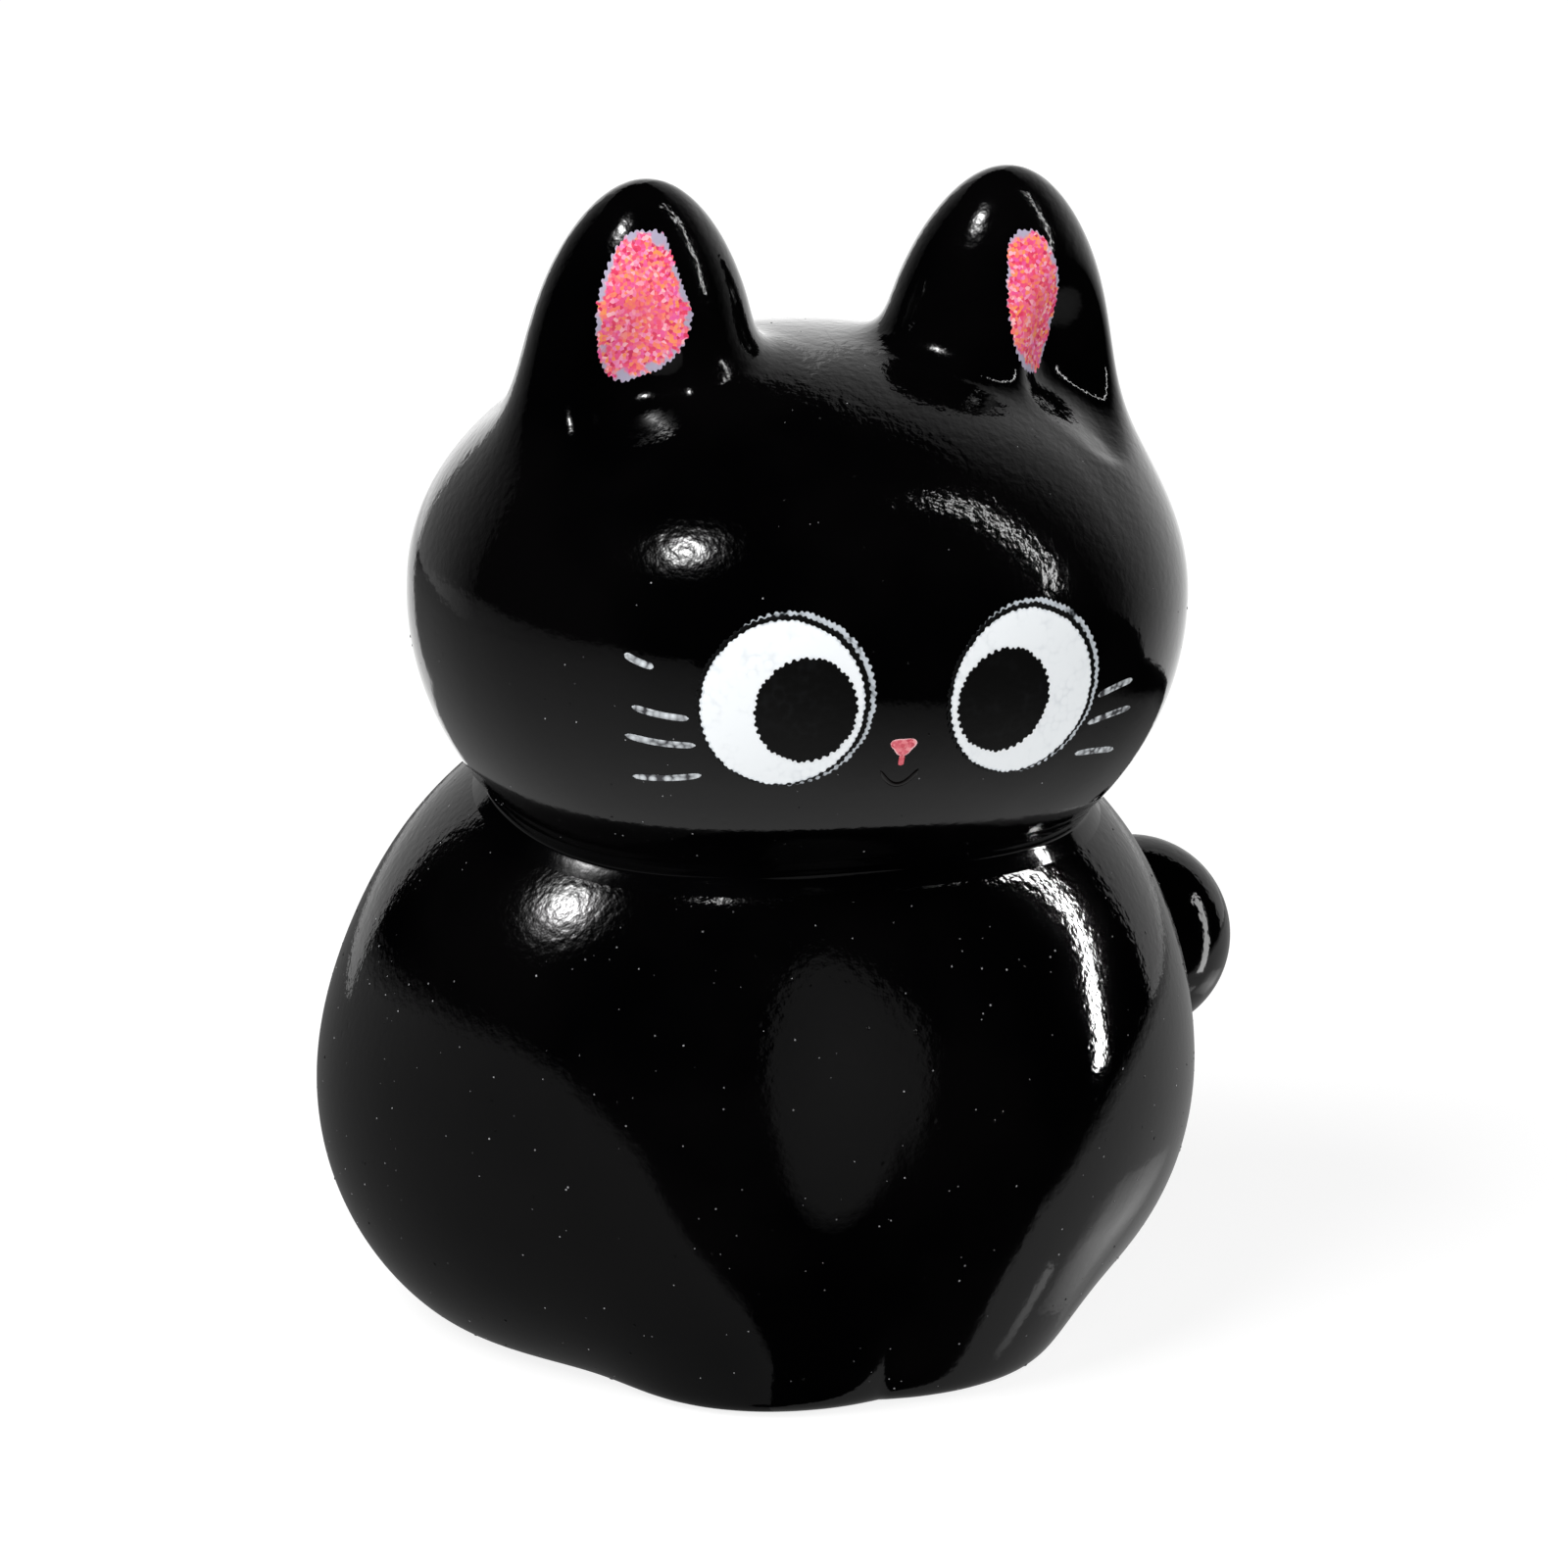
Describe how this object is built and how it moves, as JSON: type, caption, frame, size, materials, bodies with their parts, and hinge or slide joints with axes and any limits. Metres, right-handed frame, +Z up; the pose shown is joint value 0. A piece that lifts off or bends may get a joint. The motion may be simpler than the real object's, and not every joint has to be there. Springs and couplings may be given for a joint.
{
  "type": "ceramic cat figurine",
  "caption": "Small seated black glazed ceramic cat with a big egg-shaped head, upright ears, a bobtail, printed round eyes, nose, whiskers and pink inner ears, on a flat unglazed foot.",
  "frame": {"origin": "on the flat foot, on the cat's midline under its head, with z = 0 the plane it stands on", "axes": "+Z up, -Y the way the cat faces, +X the cat's left side, where its bobtail is"},
  "size_m": [0.0203, 0.0169, 0.0247],
  "materials": {
    "black_glaze": "gloss",
    "slip_glaze": "gloss",
    "mouth_glaze": "gloss",
    "white_print": "gloss",
    "black_print": "gloss",
    "pink_print": "gloss",
    "ear_print": "gloss"
  },
  "bodies": {
    "root": {"body": "black_glaze", "head": "black_glaze", "neck_slip_ring": "slip_glaze", "ear_left": "black_glaze", "ear_right": "black_glaze", "tail": "black_glaze", "eye_rim_left": "white_print", "eye_rim_right": "white_print", "eye_outline_left": "black_print", "eye_outline_right": "black_print", "eye_white_left": "white_print", "eye_white_right": "white_print", "pupil_left": "black_print", "pupil_right": "black_print", "nose": "pink_print", "nose_stem": "pink_print", "mouth": "mouth_glaze", "whiskers_left": "white_print", "whiskers_right": "white_print", "inner_ear_left": "ear_print", "inner_ear_right": "ear_print"}
  },
  "joints": []
}
